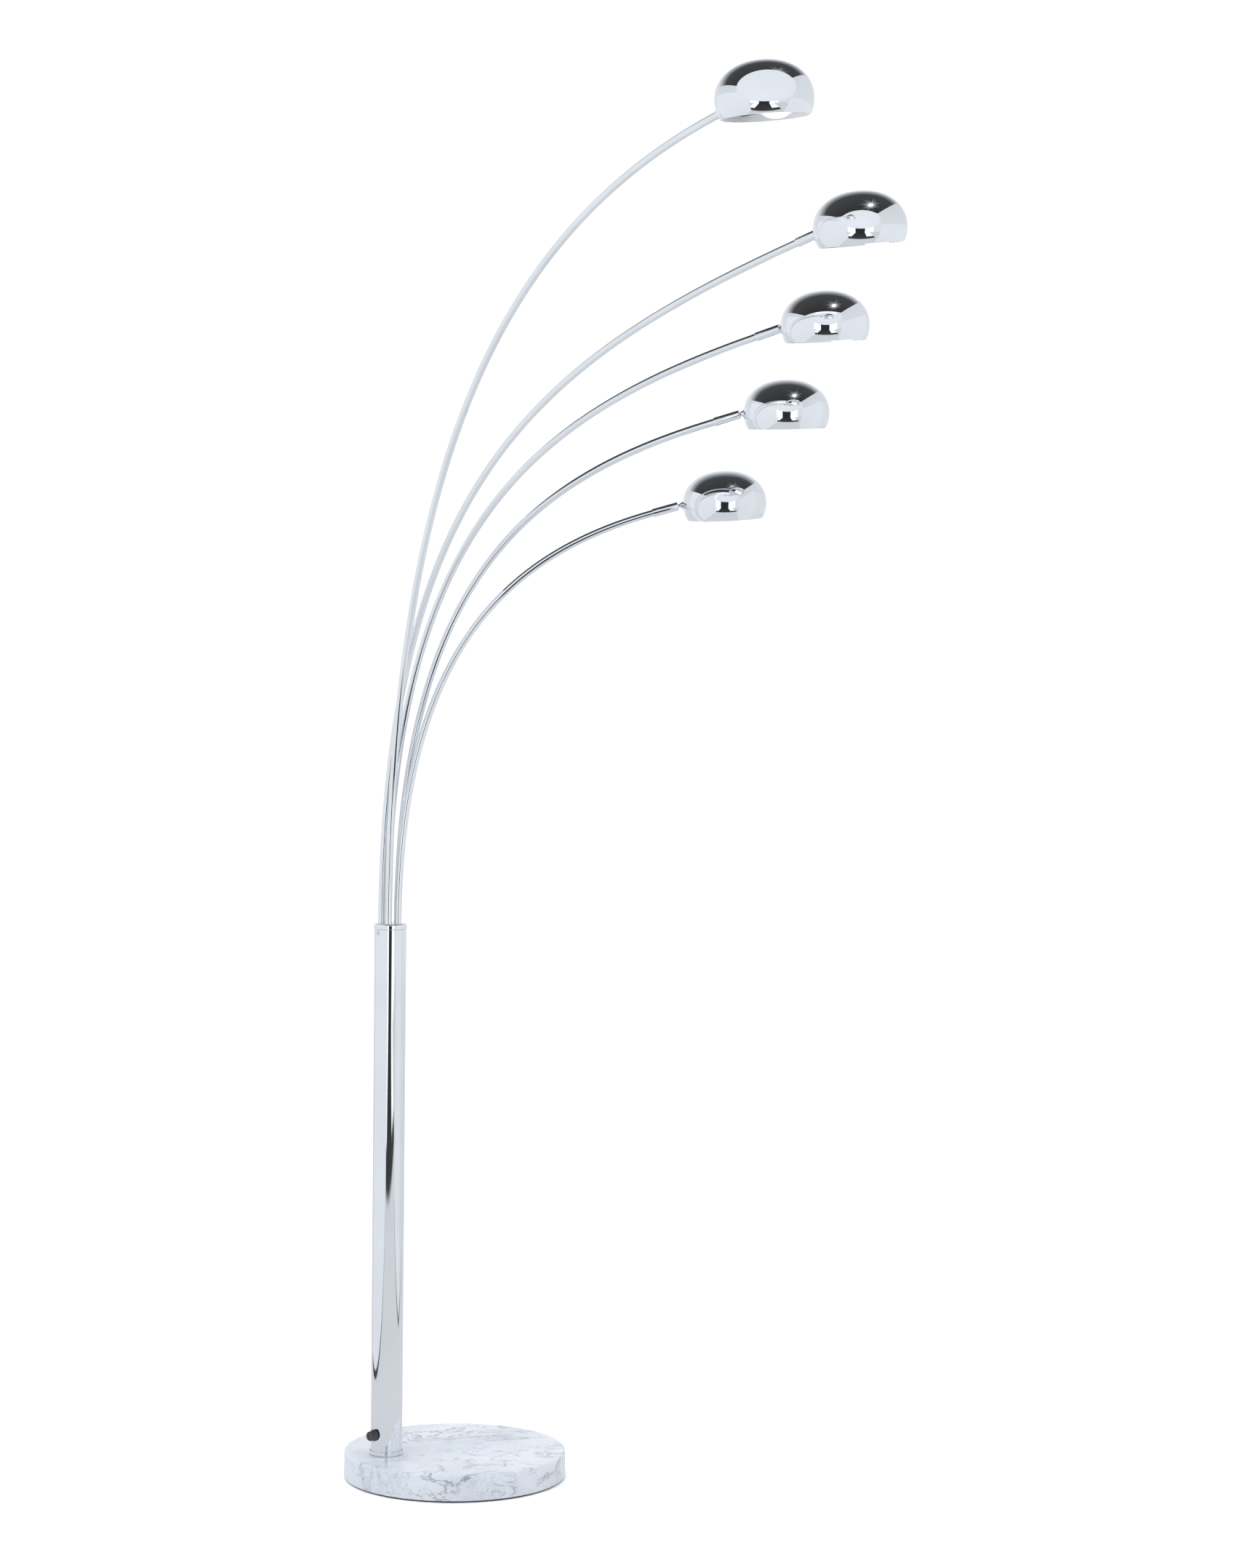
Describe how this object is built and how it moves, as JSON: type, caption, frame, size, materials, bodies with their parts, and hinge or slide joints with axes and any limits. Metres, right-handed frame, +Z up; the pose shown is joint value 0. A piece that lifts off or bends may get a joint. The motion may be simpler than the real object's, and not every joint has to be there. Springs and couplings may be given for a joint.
{
  "type": "arc floor lamp",
  "caption": "Arc floor lamp: a chrome pole near the edge of a round marble base, with bent chrome tubes that fan out and each carry an aimable chrome dome shade over a globe bulb.",
  "frame": {"origin": "centre of the base's underside, on the floor", "axes": "+Z up; +X from the pole's axis towards the centre of the base, level with the floor; +Y completes a right-handed set. The arms fan out between -20 and -80 degrees from +X, seen from above."},
  "size_m": [0.6508, 1.3262, 2.1018],
  "materials": {
    "chrome": "polished chrome plate on steel tube and sheet",
    "marble": "polished white marble with fine grey veins",
    "pad": "matt black anti-slip pad",
    "steel": "zinc-plated steel",
    "brass": "plain bulb cap",
    "black_plastic": "satin black moulded plastic",
    "white_plastic": "matt white moulded plastic",
    "bulb_glass": "opal white glass, unlit"
  },
  "bodies": {
    "stand": {"marble_base": "marble", "base_pad": "pad", "clamp_washer": "steel", "tie_bolt": "steel", "tie_nut": "steel", "foot_plug": "steel", "foot_collar": "chrome", "pole": "chrome", "arm_block": "steel", "pole_cap": "chrome", "set_screw_front": "chrome", "set_screw_back": "chrome", "dimmer_body": "steel", "dimmer_nut": "steel", "cord_bushing": "black_plastic", "terminal_block": "white_plastic"},
    "arm_1": {"arm_tube_1": "chrome", "end_sleeve_1": "chrome"},
    "knuckle_1": {"ball_stud_1": "chrome"},
    "head_1": {"ball_socket_1": "chrome", "shade_1": "chrome", "lamp_holder_1": "black_plastic", "bulb_cap_1": "brass", "bulb_glass_1": "bulb_glass"},
    "arm_2": {"arm_tube_2": "chrome", "end_sleeve_2": "chrome"},
    "knuckle_2": {"ball_stud_2": "chrome"},
    "head_2": {"ball_socket_2": "chrome", "shade_2": "chrome", "lamp_holder_2": "black_plastic", "bulb_cap_2": "brass", "bulb_glass_2": "bulb_glass"},
    "arm_3": {"arm_tube_3": "chrome", "end_sleeve_3": "chrome"},
    "knuckle_3": {"ball_stud_3": "chrome"},
    "head_3": {"ball_socket_3": "chrome", "shade_3": "chrome", "lamp_holder_3": "black_plastic", "bulb_cap_3": "brass", "bulb_glass_3": "bulb_glass"},
    "arm_4": {"arm_tube_4": "chrome", "end_sleeve_4": "chrome"},
    "knuckle_4": {"ball_stud_4": "chrome"},
    "head_4": {"ball_socket_4": "chrome", "shade_4": "chrome", "lamp_holder_4": "black_plastic", "bulb_cap_4": "brass", "bulb_glass_4": "bulb_glass"},
    "arm_5": {"arm_tube_5": "chrome", "end_sleeve_5": "chrome"},
    "knuckle_5": {"ball_stud_5": "chrome"},
    "head_5": {"ball_socket_5": "chrome", "shade_5": "chrome", "lamp_holder_5": "black_plastic", "bulb_cap_5": "brass", "bulb_glass_5": "bulb_glass"},
    "dimmer": {"dimmer_knob": "black_plastic"}
  },
  "joints": [
    {"name": "arm_1_swivel", "type": "hinge", "parent": "stand", "child": "arm_1", "pos_m": [-0.12, -0.01212, 0.878], "axis": [0, 0, 1], "range_deg": [-15, 3]},
    {"name": "shade_1_roll", "type": "hinge", "parent": "arm_1", "child": "knuckle_1", "pos_m": [0.0571, -1.01652, 2.04935], "axis": [0.1713, -0.9713, 0.165], "range_deg": [-40, 40]},
    {"name": "shade_1_tilt", "type": "hinge", "parent": "knuckle_1", "child": "head_1", "pos_m": [0.0571, -1.01652, 2.04935], "axis": [-0.9786, -0.1872, -0.086], "range_deg": [-30, 40]},
    {"name": "arm_2_swivel", "type": "hinge", "parent": "stand", "child": "arm_2", "pos_m": [-0.12669, 0.00291, 0.878], "axis": [0, 0, 1], "range_deg": [-3, 12]},
    {"name": "shade_2_roll", "type": "hinge", "parent": "arm_2", "child": "knuckle_2", "pos_m": [0.27344, -0.79965, 1.91027], "axis": [0.4289, -0.8603, 0.2756], "range_deg": [-40, 40]},
    {"name": "shade_2_tilt", "type": "hinge", "parent": "knuckle_2", "child": "head_2", "pos_m": [0.27344, -0.79965, 1.91027], "axis": [-0.8733, -0.4729, -0.1171], "range_deg": [-30, 40]},
    {"name": "arm_3_swivel", "type": "hinge", "parent": "stand", "child": "arm_3", "pos_m": [-0.11446, 0.01392, 0.878], "axis": [0, 0, 1], "range_deg": [-10, 10]},
    {"name": "shade_3_roll", "type": "hinge", "parent": "arm_3", "child": "knuckle_3", "pos_m": [0.33741, -0.5059, 1.79727], "axis": [0.6306, -0.7255, 0.2756], "range_deg": [-40, 40]},
    {"name": "shade_3_tilt", "type": "hinge", "parent": "knuckle_3", "child": "head_3", "pos_m": [0.33741, -0.5059, 1.79727], "axis": [-0.7403, -0.669, -0.0671], "range_deg": [-30, 40]},
    {"name": "arm_4_swivel", "type": "hinge", "parent": "stand", "child": "arm_4", "pos_m": [-0.10021, 0.00569, 0.878], "axis": [0, 0, 1], "range_deg": [-5, 8]},
    {"name": "shade_4_roll", "type": "hinge", "parent": "arm_4", "child": "knuckle_4", "pos_m": [0.35178, -0.31079, 1.67827], "axis": [0.7874, -0.5514, 0.2756], "range_deg": [-40, 40]},
    {"name": "shade_4_tilt", "type": "hinge", "parent": "knuckle_4", "child": "head_4", "pos_m": [0.35178, -0.31079, 1.67827], "axis": [-0.5564, -0.8282, -0.0671], "range_deg": [-30, 40]},
    {"name": "arm_5_swivel", "type": "hinge", "parent": "stand", "child": "arm_5", "pos_m": [-0.10363, -0.0104, 0.878], "axis": [0, 0, 1], "range_deg": [-15, 4]},
    {"name": "shade_5_roll", "type": "hinge", "parent": "arm_5", "child": "knuckle_5", "pos_m": [0.30868, -0.16047, 1.53927], "axis": [0.9033, -0.3288, 0.2756], "range_deg": [-40, 40]},
    {"name": "shade_5_tilt", "type": "hinge", "parent": "knuckle_5", "child": "head_5", "pos_m": [0.30868, -0.16047, 1.53927], "axis": [-0.3181, -0.9443, -0.0838], "range_deg": [-30, 40]},
    {"name": "dimmer_turn", "type": "hinge", "parent": "stand", "child": "dimmer", "pos_m": [-0.13517, -0.01154, 0.076], "axis": [-0.887, -0.4617, 0], "range_deg": [0, 270]}
  ]
}
